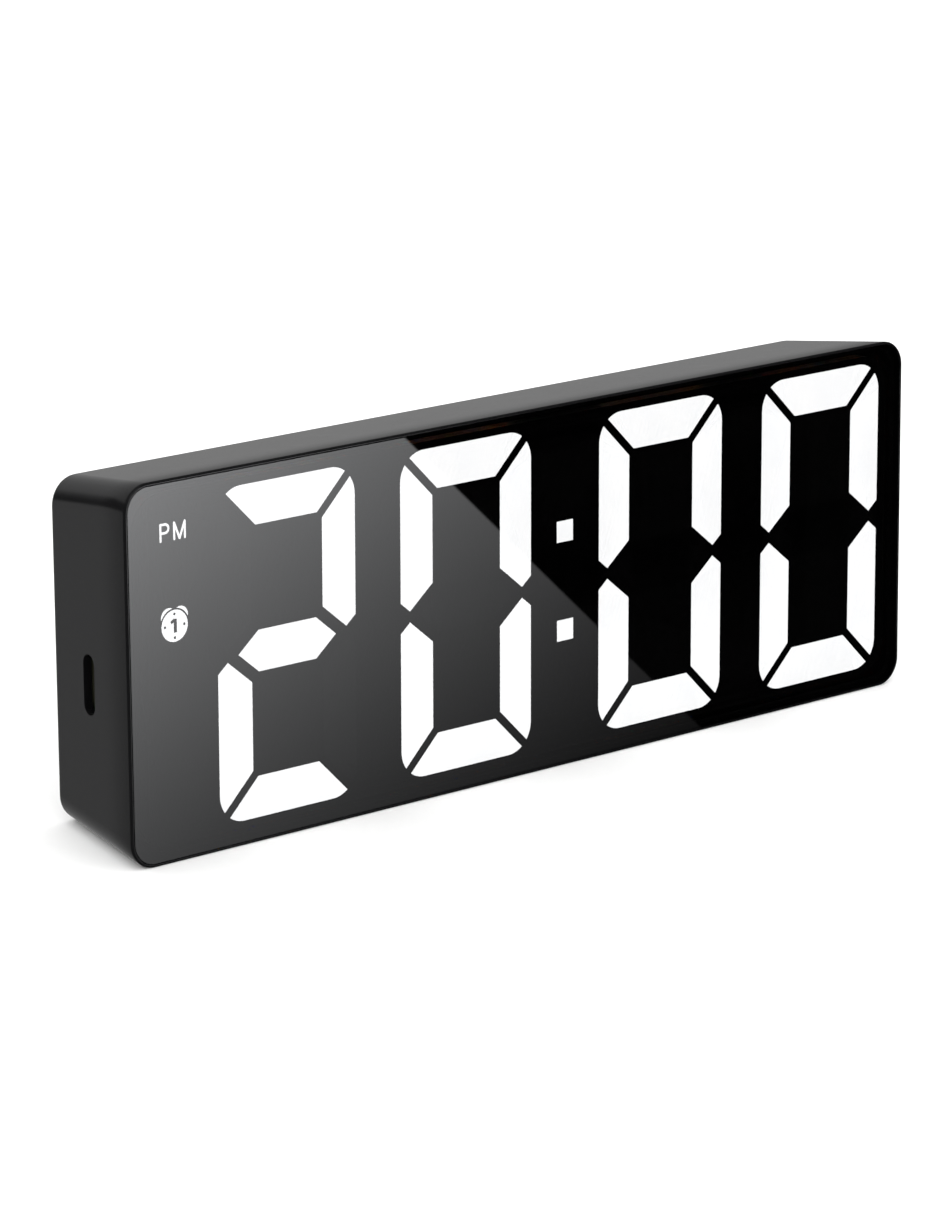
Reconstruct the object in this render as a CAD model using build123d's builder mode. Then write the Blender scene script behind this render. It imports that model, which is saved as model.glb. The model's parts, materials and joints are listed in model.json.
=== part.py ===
from build123d import *
import os
from math import atan, atan2, cos, degrees, radians, sin, sqrt, tan

# A digital alarm clock with a smoked lens over tall seven-segment digits.
# All sizes are in mm. The case narrows towards its back, and it rests on its drawn-in underside,
# so the whole clock leans back a little.

# ---- case ----
case_width = 165.0
case_height = 60.0
side_draft = 2.7  # how far each side comes in from front to back
corner_radius = 4.5
front_edge = 0.35
rear_edge = 0.9
wall = 1.5
back_wall = 1.6
rim = 0.45  # the edge of the case that shows round the lens

# ---- lens, tape and mask ----
lens_thickness = 1.5
lens_gap = 0.06
lens_bevel = 0.15
tape_thickness = 0.2
tape_width = 0.9
mask_thickness = 0.15
guide_margin = 0.6  # how far an indicator's light guide reaches past its letters or symbol

# ---- digits ----
indicator_room = 18.35  # from the left side of the case to the first digit
right_margin = 4.35
digit_gap = 9.2
colon_gap = 14.7
digit_margin = 3.5  # from the top or bottom of the case to a digit
digit_drop = 0.05
digit_slant = 0.006
digit_corner = 4.8
bar_width = 6.6
mitre_gap = 1.4
waist_gap = 1.75
waist_rise = 0.83  # slope of the cuts at the waist
waist_tip = 1.9  # from the outer side of a digit to the point of a column
waist_drop = 0.25  # how far a column's point reaches into half of the waist's cut
bar_inset = 2.1  # from the point of a column in to the point of the middle bar
dot_side = 3.5
dot_rise = 8.2
dot_lift = 0.4  # of the two dots, above the digits' middle
indicator_offset = 10.2  # from the left side of the case to the indicators' centre line
letter_height = 2.9
letter_stroke = 0.38
letter_p_width = 1.9
letter_m_width = 2.4
letter_gap = 0.7
letter_bowl_radius = 0.67
letters_drop = 8.6  # from the top of the case to the letters' centre
symbol_rise = 6.7
symbol_radius = 2.5

# ---- display module ----
reflector_depth = 3.95
guide_depth = 3.0
module_gap = 0.2
led_side = 1.6
led_height = 0.7
led_spread = 4.0
board_thickness = 1.2
electronics_gap = 1.6

# ---- battery bay ----
cell_diameter = 10.5
cell_length = 44.5
cell_nub = 0.8
cell_nub_radius = 1.9
cell_gap = 0.6
cell_float = 0.3
spring_length = 3.6
spring_wire = 0.6
spring_radius = 3.2
spring_turns = 3
cell_edge = 0.5
cell_door_play = 0.05  # more than the cells' float, between them and the door
plate_thickness = 0.4
plate_side = 8.6
bay_floor = 1.2
bay_seam = 1.0  # how far the bay's walls reach past the door's opening, where they join the back
bay_from_right = 44.5  # from the right side of the case to the bay's middle

# ---- battery door ----
door_lap = 0.8
door_gap = 0.2
door_corner = 1.6
door_clearance = 0.15
tab_width = 7.0
tab_thickness = 1.2
tab_foot = 1.6
tab_spread = 30.0
tab_swing_room = 0.6
latch_width = 10.0
latch_length = 6.0
latch_slit = 0.6
grip_height = 0.4
grip_width = 0.6
grip_pitch = 1.4
grip_margin = 1.5  # from the side of the latch to the ends of the ribs
finger_dish_depth = 0.8
finger_dish_radius = 7.0
finger_dish_slope = 30  # degrees

# ---- control board ----
control_thickness = 1.6
board_corner = 1.0
board_screw_inset = 5.0  # from the ends of the board
board_screw_edge = 4.0  # from its long edges
switch_side = 6.0
switch_height = 3.5
plunger_radius = 1.7
plunger_height = 1.2
plunger_gap = 0.15
plunger_depth = 0.6
press_room = 0.2
plunger_well = 0.4  # what stays free under a plunger that is pressed in
button_radius = 3.5
button_gap = 0.25
button_height = 0.7
button_flange = 0.9
button_flange_thickness = 0.9
button_float = 0.1
button_pitch = 14.0
button_rise = 8.0
button_edge = 0.35
symbol_depth = 0.25
mark_length = 3.15
mark_width = 0.7
bar_mark_width = 0.49
bar_mark_pitch = 1.26
ring_outer_radius = 1.75
ring_inner_radius = 1.26
lead_room = 8.0
board_gap = 0.3

# ---- USB-C socket ----
usb_width = 8.94
usb_height = 3.26
usb_length = 7.3
usb_sheet = 0.3
usb_tongue_width = 6.7
usb_tongue_thickness = 0.7
usb_tongue_length = 4.6
usb_base = 1.0  # the block at the back of the socket that the tongue stands on
usb_drop = 3.0
slot_length = 9.6
slot_width = 3.3

# ---- small parts on the control board ----
buzzer_radius = 6.0
buzzer_height = 5.0
buzzer_edge = 0.5
buzzer_hole_radius = 1.2
buzzer_hole_depth = 1.5
buzzer_from_edge = 15.6  # from the right end of the board
sound_hole_radius = 0.6
sound_hole_ring = 3.2
chip_side = 7.0
chip_height = 1.2
chip_bevel = 0.2
chip_rise = 4.5
chip_from_middle = 14.0
driver_length = 10.0
driver_width = 4.0
driver_height = 1.7
driver_from_middle = 10.0
crystal_radius = 1.0
crystal_length = 6.0
capacitor_radius = 2.0
capacitor_height = 5.0
capacitor_bevel = 0.3
capacitor_pitch = 6.0
capacitor_from_edge = 6.4  # from the right end of the board
header_pins = 8
header_pitch = 2.54
header_pin_side = 0.64
header_block_width = 2.5

# ---- screws and leads ----
screw_radius = 1.0
screw_head_radius = 1.9
screw_head_height = 1.4
screw_slot_length = 2.4
screw_slot_width = 0.5
screw_gap = 0.2
screw_bite = 4.5
boss_radius = 2.3
boss_sink = 0.5  # how far the display's bosses run into the top and bottom walls
lead_radius = 0.5
lead_reach = 2.5  # from the bay's end wall to a lead's first turn
lead_bend_radius = 1.75
lead_drop = 3.5  # from a plate's middle to where its lead leaves the bay
lead_overlap = 5.0  # how far a lead runs over the board

# ---- depths behind the front of the case, front to back ----
mask_back = lens_thickness + mask_thickness
seat_depth = lens_thickness + tape_thickness
reflector_back = mask_back + reflector_depth
guide_back = lens_thickness + guide_depth
led_board_back = reflector_back + board_thickness
bay_floor_front = led_board_back + electronics_gap
bay_floor_back = bay_floor_front + bay_floor
cell_axis = bay_floor_back + cell_float + cell_diameter / 2
rear_inner = cell_axis + cell_diameter / 2 + cell_float + cell_door_play - door_clearance
case_depth = rear_inner + back_wall
door_inner = rear_inner + door_clearance
flange_back = rear_inner - button_float
flange_front = flange_back - button_flange_thickness
switch_top = flange_front - plunger_height
control_back = switch_top - switch_height
control_front = control_back - control_thickness
usb_axis = control_front - usb_height / 2

# ---- the leaning front plane: x to the right, y up along the face, z out of the face ----
lean = atan(side_draft / case_depth)
lean_degrees = degrees(lean)
front_arc_rise = -case_height / 2 + front_edge * tan(lean) + front_edge / cos(lean)
rear_arc_depth = case_depth - rear_edge
rear_arc_rise = case_height / 2 - rear_arc_depth * tan(lean) - rear_edge / cos(lean)
foremost = front_edge * cos(lean) + front_arc_rise * sin(lean) - front_edge
rearmost = rear_arc_depth * cos(lean) + rear_arc_rise * sin(lean) + rear_edge
FRONT = Plane(
    origin=(0, -(foremost + rearmost) / 2, case_height / 2 * cos(lean)),
    x_dir=(1, 0, 0),
    z_dir=(0, -cos(lean), sin(lean)),
)
OUTWARD = Axis(FRONT.origin, FRONT.z_dir)


def behind(depth):
    """The plane parallel to the front of the case, depth behind it."""
    return FRONT.offset(-depth)


def half_width(depth):
    """From the middle to the outside of the left or right side, depth behind the front."""
    return case_width / 2 - depth * side_draft / case_depth


def half_height(depth):
    """From the middle to the outside of the top or bottom, depth behind the front."""
    return case_height / 2 - depth * side_draft / case_depth


# ---- places across the face ----
digit_width = (case_width - indicator_room - right_margin - 2 * digit_gap - colon_gap) / 4
digit_height = case_height - 2 * digit_margin
first_digit = -case_width / 2 + indicator_room + digit_width / 2
digit_step = digit_width + digit_gap
pair_step = 2 * digit_width + digit_gap + colon_gap
digit_places = {
    "hour_tens": first_digit,
    "hour_units": first_digit + digit_step,
    "minute_tens": first_digit + pair_step,
    "minute_units": first_digit + pair_step + digit_step,
}
digit_rise = -digit_drop
colon_place = first_digit + digit_step + digit_width / 2 + colon_gap / 2
dot_places = [(colon_place, digit_rise + dot_lift + side * dot_rise) for side in (-1, 1)]
indicator_place = -case_width / 2 + indicator_offset
letters_rise = case_height / 2 - letters_drop
lit_letters = {
    "hour_tens": "abged",
    "hour_units": "abcdef",
    "minute_tens": "abcdef",
    "minute_units": "abcdef",
}
letters_width = letter_p_width + letter_gap + letter_m_width
letters_block = (letters_width + 2 * guide_margin, letter_height + 2 * guide_margin)
symbol_block = (2.6 * symbol_radius + 2 * guide_margin, 2.4 * symbol_radius + 2 * guide_margin)
symbol_block_rise = symbol_rise + 0.16 * symbol_radius

reflector_half_width = half_width(reflector_back) - wall - module_gap
reflector_half_height = half_height(reflector_back) - wall - module_gap
hollow_corner = corner_radius - wall  # at the back of the hollow, from where it widens forwards
module_corner = hollow_corner + side_draft
display_boss_rise = half_height(rear_inner) - wall - boss_radius + boss_sink
display_boss_places = [
    (digit_places[name] + digit_step / 2, side * display_boss_rise)
    for name in ("hour_tens", "minute_tens")
    for side in (-1, 1)
]

# ---- places on the back ----
bay_place = case_width / 2 - bay_from_right
bay_length = cell_length + spring_length + 2 * plate_thickness
cell_pitch = cell_diameter + cell_gap
bay_height = 3 * cell_pitch
bay_wall = door_lap + door_gap + bay_seam
bay_outer_length = bay_length + 2 * bay_wall
bay_outer_height = bay_height + 2 * bay_wall
door_width = bay_length + 2 * door_lap
door_height = bay_height + 2 * door_lap
opening_width = door_width + 2 * door_gap
opening_height = door_height + 2 * door_gap
cell_rises = [-cell_pitch, 0, cell_pitch]

board_left = -(half_width(control_back) - wall) + board_gap
board_right = bay_place - bay_outer_length / 2 - lead_room
board_place = (board_left + board_right) / 2
board_width = board_right - board_left
board_height = 2 * (display_boss_rise - boss_radius - 2 * board_gap)
board_screw_places = [
    (edge - side * board_screw_inset, rise * (board_height / 2 - board_screw_edge))
    for edge, side in ((board_left, -1), (board_right, 1))
    for rise in (-1, 1)
]
button_names = ["mode", "set", "up", "down"]
button_places = {
    name: (board_place + (1.5 - number) * button_pitch, button_rise)
    for number, name in enumerate(button_names)
}
buzzer_place = (board_right - buzzer_from_edge, -board_height / 4)
header_place = (board_place, -board_height / 2 + 2 * header_block_width)
sound_places = [(buzzer_place[0], buzzer_place[1])] + [
    (
        buzzer_place[0] + sound_hole_ring * cos(radians(60 * turn)),
        buzzer_place[1] + sound_hole_ring * sin(radians(60 * turn)),
    )
    for turn in range(6)
]
usb_mouth = -(half_width(control_back) - wall) + board_gap
SIDE = Plane(
    origin=FRONT.from_local_coords(Vector(-case_width / 2, -usb_drop, -usb_axis)),
    x_dir=FRONT.y_dir,
    z_dir=-FRONT.x_dir,
)
usb_start = SIDE.offset(-(case_width / 2 + usb_mouth))  # the plane of the socket's mouth


def segment_outline(letter, middle):
    """A segment's corners, and which of them are the middles of arcs, for the digit at (middle, digit_rise).

    The letters run a to f clockwise from the top bar, and g is the middle bar.
    """
    half_w = digit_width / 2
    half_h = digit_height / 2
    mitre = mitre_gap / sqrt(2)
    reach = (mitre + sqrt(2 * digit_corner**2 - mitre**2)) / 2
    turn = (atan2(reach, reach - mitre) + radians(90)) / 2  # the middle of the rounded end
    arc_far = digit_corner * cos(turn)
    arc_high = digit_corner * sin(turn)
    inner = half_w - bar_width
    cut = waist_gap * sqrt(1 + waist_rise**2)
    tip = half_w - waist_tip
    if letter in "ad":
        right = [
            (inner - mitre, half_h - bar_width),
            (half_w - digit_corner + reach - mitre, half_h - digit_corner + reach),
            (half_w - digit_corner + arc_far, half_h - digit_corner + arc_high),
            (half_w - digit_corner, half_h),
        ]
        points = right + [(-x, y) for x, y in reversed(right)]
        arcs = {2, 5}
    elif letter == "g":
        end = tip - bar_inset
        shoulder = end - bar_width / 2 / waist_rise
        points = [
            (end, 0),
            (shoulder, bar_width / 2),
            (-shoulder, bar_width / 2),
            (-end, 0),
            (-shoulder, -bar_width / 2),
            (shoulder, -bar_width / 2),
        ]
        arcs = set()
    else:
        tip_rise = cut / 2 - waist_drop
        points = [
            (inner, half_h - bar_width - mitre),
            (half_w - digit_corner + reach, half_h - digit_corner + reach - mitre),
            (half_w - digit_corner + arc_high, half_h - digit_corner + arc_far),
            (half_w, half_h - digit_corner),
            (half_w, tip_rise + waist_rise * waist_tip),
            (tip, tip_rise),
            (inner, tip_rise + waist_rise * (tip - inner)),
        ]
        arcs = {2}
    flip_x = -1 if letter in "ef" else 1
    flip_y = -1 if letter in "cde" else 1
    placed = [
        (middle + flip_x * x + digit_slant * flip_y * y, digit_rise + flip_y * y) for x, y in points
    ]
    return placed, arcs


def segment_wire(letter, middle):
    """The closed outline of a segment, as one wire."""
    points, arcs = segment_outline(letter, middle)
    edges = []
    count = len(points)
    at = 0
    while at < count:
        following = (at + 1) % count
        if following in arcs:
            arc_end = points[(at + 2) % count]
            edges.append(Edge.make_three_point_arc(points[at], points[following], arc_end))
            at += 2
        else:
            edges.append(Edge.make_line(points[at], points[following]))
            at += 1
    return Wire(edges)


def segment_faces(name, letters):
    """Flat faces of the named segments of one digit, on the XY plane."""
    return [Face(segment_wire(letter, digit_places[name])) for letter in letters]


def draw_letters():
    """The letters P and M as strokes, drawn into the current sketch."""
    left = indicator_place - letters_width / 2 + letter_stroke / 2
    low = letters_rise - letter_height / 2 + letter_stroke / 2
    high = letters_rise + letter_height / 2 - letter_stroke / 2
    bowl_right = left + letter_p_width - letter_stroke - letter_bowl_radius
    bowl_middle = (bowl_right + letter_bowl_radius, high - letter_bowl_radius)
    bowl_low = high - 2 * letter_bowl_radius
    m_left = left + letter_p_width + letter_gap
    m_right = m_left + letter_m_width - letter_stroke
    p_line = [
        Edge.make_line((left, low), (left, high)),
        Edge.make_line((left, high), (bowl_right, high)),
        Edge.make_three_point_arc((bowl_right, high), bowl_middle, (bowl_right, bowl_low)),
        Edge.make_line((bowl_right, bowl_low), (left, bowl_low)),
    ]
    m_middle = (m_left + m_right) / 2
    m_points = [(m_left, low), (m_left, high), (m_middle, low), (m_right, high), (m_right, low)]
    m_line = [Edge.make_line(a, b) for a, b in zip(m_points, m_points[1:])]
    for edge in p_line + m_line:
        trace(edge, line_width=letter_stroke)
    with Locations(*([(left, low), (left, high)] + m_points)):
        Circle(letter_stroke / 2)


def draw_symbol():
    """An alarm clock seen from the front: a dial with four marks and the figure 1, and two bells."""
    bell_turn = radians(37)
    bell_reach = 0.74 * symbol_radius
    bell_radius = 0.58 * symbol_radius
    bell_gap = 0.11 * symbol_radius
    mark_reach = 0.74 * symbol_radius
    mark_radius = 0.09 * symbol_radius
    stem = (0.24 * symbol_radius, 0.86 * symbol_radius)
    stem_shift = 0.05 * symbol_radius
    flag = (0.34 * symbol_radius, 0.2 * symbol_radius)
    flag_shift = (-0.14 * symbol_radius, 0.3 * symbol_radius)
    flag_turn = 32
    for side in (-1, 1):
        bell_x = indicator_place + side * bell_reach * sin(bell_turn)
        bell_y = symbol_rise + bell_reach * cos(bell_turn)
        with Locations((bell_x, bell_y)):
            Circle(bell_radius)
    with Locations((indicator_place, symbol_rise)):
        Circle(symbol_radius + bell_gap, mode=Mode.SUBTRACT)
        Circle(symbol_radius)
        with PolarLocations(mark_reach, 4):
            Circle(mark_radius, mode=Mode.SUBTRACT)
        with Locations((stem_shift, 0)):
            Rectangle(*stem, mode=Mode.SUBTRACT)
        with Locations(flag_shift):
            Rectangle(*flag, rotation=flag_turn, mode=Mode.SUBTRACT)


os.makedirs("parts", exist_ok=True)


def finish(part, label):
    """Names a finished piece and writes it."""
    part.label = label
    export_step(part, f"parts/{label}.step")


# ---- case: one tub, open to the front, with the battery bay, bosses and sound holes moulded in ----
with BuildPart() as rear_shell:
    with BuildSketch(behind(case_depth)):
        Rectangle(case_width, case_height)
    extrude(amount=case_depth)
    sides = rear_shell.faces().filter_by(lambda face: abs(face.normal_at().dot(FRONT.z_dir)) < 0.5)
    draft(sides, FRONT, -lean_degrees)
    slanted = rear_shell.edges().filter_by(lambda edge: abs((edge % 0.5).dot(FRONT.z_dir)) > 0.5)
    fillet(slanted, corner_radius)
    fillet(rear_shell.faces().sort_by(OUTWARD)[0].edges(), rear_edge)
    fillet(rear_shell.faces().sort_by(OUTWARD)[-1].edges(), front_edge)
    # the hollow, then the recess that the lens lies in
    with BuildSketch(behind(rear_inner)):
        RectangleRounded(
            2 * (half_width(rear_inner) - wall), 2 * (half_height(rear_inner) - wall), hollow_corner
        )
    extrude(amount=rear_inner, taper=-lean_degrees, mode=Mode.SUBTRACT)
    with BuildSketch(behind(seat_depth)):
        RectangleRounded(case_width - 2 * rim, case_height - 2 * rim, corner_radius - rim)
    extrude(amount=seat_depth, mode=Mode.SUBTRACT)
    # bay and bosses
    with BuildSketch(behind(rear_inner)):
        with Locations((bay_place, 0)):
            Rectangle(bay_outer_length, bay_outer_height)
    extrude(amount=rear_inner - bay_floor_front)
    with BuildSketch(behind(rear_inner)):
        with Locations(*display_boss_places):
            Circle(boss_radius)
    extrude(amount=rear_inner - led_board_back)
    with BuildSketch(behind(rear_inner)):
        with Locations(*board_screw_places):
            Circle(boss_radius)
    extrude(amount=rear_inner - control_back)
    # inside of the bay, the door's opening and the room that the door's feet swing in
    with BuildSketch(behind(rear_inner)):
        with Locations((bay_place, 0)):
            Rectangle(bay_length, bay_height)
    extrude(amount=rear_inner - bay_floor_back, mode=Mode.SUBTRACT)
    with BuildSketch(behind(case_depth)):
        with Locations((bay_place, 0)):
            RectangleRounded(opening_width, opening_height, door_corner + door_gap)
    extrude(amount=back_wall, mode=Mode.SUBTRACT)
    with BuildSketch(behind(rear_inner)):
        with Locations((bay_place, -(bay_height + bay_wall) / 2)):
            with GridLocations(tab_spread, 0, 2, 1):
                Rectangle(tab_width + 2 * tab_swing_room, 2 * bay_wall)
    extrude(amount=tab_foot + tab_thickness + tab_swing_room, mode=Mode.SUBTRACT)
    # screw holes
    with BuildSketch(behind(led_board_back)):
        with Locations(*display_boss_places):
            Circle(screw_radius)
    extrude(amount=-(screw_bite + screw_gap), mode=Mode.SUBTRACT)
    with BuildSketch(behind(control_back)):
        with Locations(*board_screw_places):
            Circle(screw_radius)
    extrude(amount=-(screw_bite + screw_gap), mode=Mode.SUBTRACT)
    # button holes, sound holes and the dish above the door's latch
    with BuildSketch(behind(case_depth)):
        with Locations(*button_places.values()):
            Circle(button_radius + button_gap)
        with Locations(*sound_places):
            Circle(sound_hole_radius)
    extrude(amount=back_wall, mode=Mode.SUBTRACT)
    with BuildSketch(behind(case_depth)) as dish:
        with Locations((bay_place, opening_height / 2)):
            Circle(finger_dish_radius)
        with Locations((bay_place, opening_height / 2 - finger_dish_radius)):
            Rectangle(2 * finger_dish_radius, 2 * finger_dish_radius, mode=Mode.SUBTRACT)
    extrude(amount=finger_dish_depth, taper=finger_dish_slope, mode=Mode.SUBTRACT)
    # the socket's slot in the left side
    with BuildSketch(SIDE):
        SlotOverall(slot_length, slot_width)
    extrude(amount=-(case_width / 2 + usb_mouth), mode=Mode.SUBTRACT)
finish(rear_shell.part, "rear_shell")

# ---- lens and the tape that holds it ----
lens_width = case_width - 2 * rim - 2 * lens_gap
lens_height = case_height - 2 * rim - 2 * lens_gap
with BuildPart() as front_lens:
    with BuildSketch(behind(lens_thickness)):
        RectangleRounded(lens_width, lens_height, corner_radius - rim - lens_gap)
    extrude(amount=lens_thickness)
    chamfer(front_lens.faces().sort_by(OUTWARD)[-1].edges(), lens_bevel)
finish(front_lens.part, "front_lens")

with BuildPart() as lens_tape:
    with BuildSketch(behind(seat_depth)):
        RectangleRounded(lens_width, lens_height, corner_radius - rim - lens_gap)
        RectangleRounded(
            lens_width - 2 * tape_width,
            lens_height - 2 * tape_width,
            corner_radius - rim - lens_gap - tape_width,
            mode=Mode.SUBTRACT,
        )
    extrude(amount=tape_thickness)
finish(lens_tape.part, "lens_tape")

# ---- mask: a black film with a window for every segment, dot, letter and symbol ----
with BuildPart() as segment_mask:
    with BuildSketch(behind(mask_back)):
        RectangleRounded(2 * reflector_half_width, 2 * reflector_half_height, module_corner)
        for name in digit_places:
            add(segment_faces(name, "abcdefg"), mode=Mode.SUBTRACT)
        with Locations(*dot_places):
            Rectangle(dot_side, dot_side, mode=Mode.SUBTRACT)
    extrude(amount=mask_thickness)
    with BuildSketch(behind(mask_back)):
        draw_letters()
    extrude(amount=mask_thickness, mode=Mode.SUBTRACT)
    with BuildSketch(behind(mask_back)):
        draw_symbol()
    extrude(amount=mask_thickness, mode=Mode.SUBTRACT)
finish(segment_mask.part, "segment_mask")

# ---- reflector frame: one well for each light guide ----
with BuildPart() as reflector_frame:
    with BuildSketch(behind(reflector_back)):
        RectangleRounded(2 * reflector_half_width, 2 * reflector_half_height, module_corner)
        for name in digit_places:
            add(segment_faces(name, "abcdefg"), mode=Mode.SUBTRACT)
        with Locations(*dot_places):
            Rectangle(dot_side, dot_side, mode=Mode.SUBTRACT)
        with Locations((indicator_place, letters_rise)):
            Rectangle(*letters_block, mode=Mode.SUBTRACT)
        with Locations((indicator_place, symbol_block_rise)):
            Rectangle(*symbol_block, mode=Mode.SUBTRACT)
        with Locations(*display_boss_places):
            Circle(screw_radius + screw_gap, mode=Mode.SUBTRACT)
    extrude(amount=reflector_depth)
    with BuildSketch(behind(mask_back)):
        with Locations(*display_boss_places):
            Circle(screw_head_radius + screw_gap)
    extrude(amount=-(screw_head_height + screw_gap), mode=Mode.SUBTRACT)
finish(reflector_frame.part, "reflector_frame")

# ---- light guides of the digits: the ones that are lit, and the ones that are dark ----
for name in digit_places:
    for state, letters in (
        ("lit", lit_letters[name]),
        ("dark", [letter for letter in "abcdefg" if letter not in lit_letters[name]]),
    ):
        with BuildPart() as digit_guides:
            with BuildSketch(behind(guide_back)):
                add(segment_faces(name, letters))
            extrude(amount=guide_depth)
        finish(digit_guides.part, f"{name}_{state}")

with BuildPart() as colon_dots:
    with BuildSketch(behind(guide_back)):
        with Locations(*dot_places):
            Rectangle(dot_side, dot_side)
    extrude(amount=guide_depth)
finish(colon_dots.part, "colon_dots")

with BuildPart() as pm_indicator:
    with BuildSketch(behind(guide_back)):
        with Locations((indicator_place, letters_rise)):
            Rectangle(*letters_block)
    extrude(amount=guide_back - mask_back)
    with BuildSketch(behind(mask_back)):
        draw_letters()
    extrude(amount=mask_thickness)
finish(pm_indicator.part, "pm_indicator")

with BuildPart() as alarm_indicator:
    with BuildSketch(behind(guide_back)):
        with Locations((indicator_place, symbol_block_rise)):
            Rectangle(*symbol_block)
    extrude(amount=guide_back - mask_back)
    with BuildSketch(behind(mask_back)):
        draw_symbol()
    extrude(amount=mask_thickness)
finish(alarm_indicator.part, "alarm_indicator")

# ---- LED board, with two LEDs in each well, and one behind each dot and indicator ----
with BuildPart() as led_board:
    with BuildSketch(behind(led_board_back)):
        RectangleRounded(
            2 * (reflector_half_width - board_gap), 2 * (reflector_half_height - board_gap), module_corner
        )
        with Locations(*display_boss_places):
            Circle(screw_radius + screw_gap, mode=Mode.SUBTRACT)
    extrude(amount=board_thickness)
finish(led_board.part, "led_board")

column_rise = (digit_height - bar_width) / 4 + bar_width / 4
column_offset = (digit_width - bar_width) / 2
bar_rise = (digit_height - bar_width) / 2
led_places = list(dot_places) + [(indicator_place, letters_rise), (indicator_place, symbol_rise)]
for middle in digit_places.values():
    for side in (-1, 1):
        led_places += [(middle + side * led_spread, digit_rise + rise) for rise in (-bar_rise, 0, bar_rise)]
        led_places += [
            (middle + side * column_offset, digit_rise + half * column_rise + shift * led_spread)
            for half in (-1, 1)
            for shift in (-1, 1)
        ]
with BuildPart() as leds:
    with BuildSketch(behind(reflector_back)):
        with Locations(*led_places):
            Rectangle(led_side, led_side)
    extrude(amount=led_height)
finish(leds.part, "leds")

with BuildPart() as display_screws:
    with BuildSketch(behind(mask_back + screw_head_height)):
        with Locations(*display_boss_places):
            Circle(screw_head_radius)
    extrude(amount=screw_head_height - screw_gap)
    with BuildSketch(behind(mask_back + screw_head_height)):
        with Locations(*display_boss_places):
            Circle(screw_radius)
    extrude(amount=-(led_board_back - mask_back - screw_head_height + screw_bite))
    with BuildSketch(behind(mask_back + screw_gap)):
        with Locations(*display_boss_places):
            Rectangle(screw_slot_length, screw_slot_width)
            Rectangle(screw_slot_width, screw_slot_length)
    extrude(amount=-screw_head_height / 2, mode=Mode.SUBTRACT)
finish(display_screws.part, "display_screws")

# ---- control board and what is soldered to it ----
with BuildPart() as control_board:
    with BuildSketch(behind(control_back)):
        with Locations((board_place, 0)):
            RectangleRounded(board_width, board_height, board_corner)
        with Locations(*board_screw_places):
            Circle(screw_radius + screw_gap, mode=Mode.SUBTRACT)
    extrude(amount=control_thickness)
finish(control_board.part, "control_board")

with BuildPart() as board_screws:
    with BuildSketch(behind(control_front)):
        with Locations(*board_screw_places):
            Circle(screw_head_radius)
    extrude(amount=screw_head_height)
    with BuildSketch(behind(control_front)):
        with Locations(*board_screw_places):
            Circle(screw_radius)
    extrude(amount=-(control_thickness + screw_bite))
    with BuildSketch(behind(control_front - screw_head_height)):
        with Locations(*board_screw_places):
            Rectangle(screw_slot_length, screw_slot_width)
            Rectangle(screw_slot_width, screw_slot_length)
    extrude(amount=-screw_head_height / 2, mode=Mode.SUBTRACT)
finish(board_screws.part, "board_screws")

with BuildPart() as clock_chip:
    with BuildSketch(behind(control_front)):
        with Locations((board_place - chip_from_middle, chip_rise)):
            Rectangle(chip_side, chip_side)
    extrude(amount=chip_height)
    chamfer(clock_chip.faces().sort_by(OUTWARD)[-1].edges(), chip_bevel)
finish(clock_chip.part, "clock_chip")

with BuildPart() as display_driver:
    with BuildSketch(behind(control_front)):
        with Locations((board_place + driver_from_middle, chip_rise)):
            Rectangle(driver_length, driver_width)
    extrude(amount=driver_height)
    chamfer(display_driver.faces().sort_by(OUTWARD)[-1].edges(), chip_bevel)
finish(display_driver.part, "display_driver")

crystal_plane = Plane(
    origin=FRONT.from_local_coords(
        Vector(board_place - chip_from_middle, -chip_side / 2, -(control_front - crystal_radius))
    ),
    x_dir=FRONT.y_dir,
    z_dir=FRONT.x_dir,
)
with BuildPart() as quartz_crystal:
    with BuildSketch(crystal_plane):
        Circle(crystal_radius)
    extrude(amount=crystal_length)
finish(quartz_crystal.part, "quartz_crystal")

with BuildPart() as capacitors:
    with BuildSketch(behind(control_front)):
        with Locations((board_right - capacitor_from_edge, 0)):
            with GridLocations(0, capacitor_pitch, 1, 2):
                Circle(capacitor_radius)
    extrude(amount=capacitor_height)
    chamfer(capacitors.faces().sort_by(OUTWARD)[-2:].edges(), capacitor_bevel)
finish(capacitors.part, "capacitors")

with BuildPart() as buzzer:
    with BuildSketch(behind(control_back)):
        with Locations(buzzer_place):
            Circle(buzzer_radius)
    extrude(amount=-buzzer_height)
    fillet(buzzer.faces().sort_by(OUTWARD)[0].edges(), buzzer_edge)
    with BuildSketch(behind(control_back + buzzer_height)):
        with Locations(buzzer_place):
            Circle(buzzer_hole_radius)
    extrude(amount=buzzer_hole_depth, mode=Mode.SUBTRACT)
finish(buzzer.part, "buzzer")

pin_places = [
    (header_place[0] + (number - (header_pins - 1) / 2) * header_pitch, header_place[1])
    for number in range(header_pins)
]
with BuildPart() as board_header:
    with BuildSketch(behind(control_front)):
        with Locations(header_place):
            Rectangle(header_pins * header_pitch, header_block_width)
    extrude(amount=header_block_width)
    with BuildSketch(behind(control_front)):
        with Locations(*pin_places):
            Rectangle(header_pin_side, header_pin_side)
    extrude(amount=control_front - led_board_back)
finish(board_header.part, "board_header")

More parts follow.
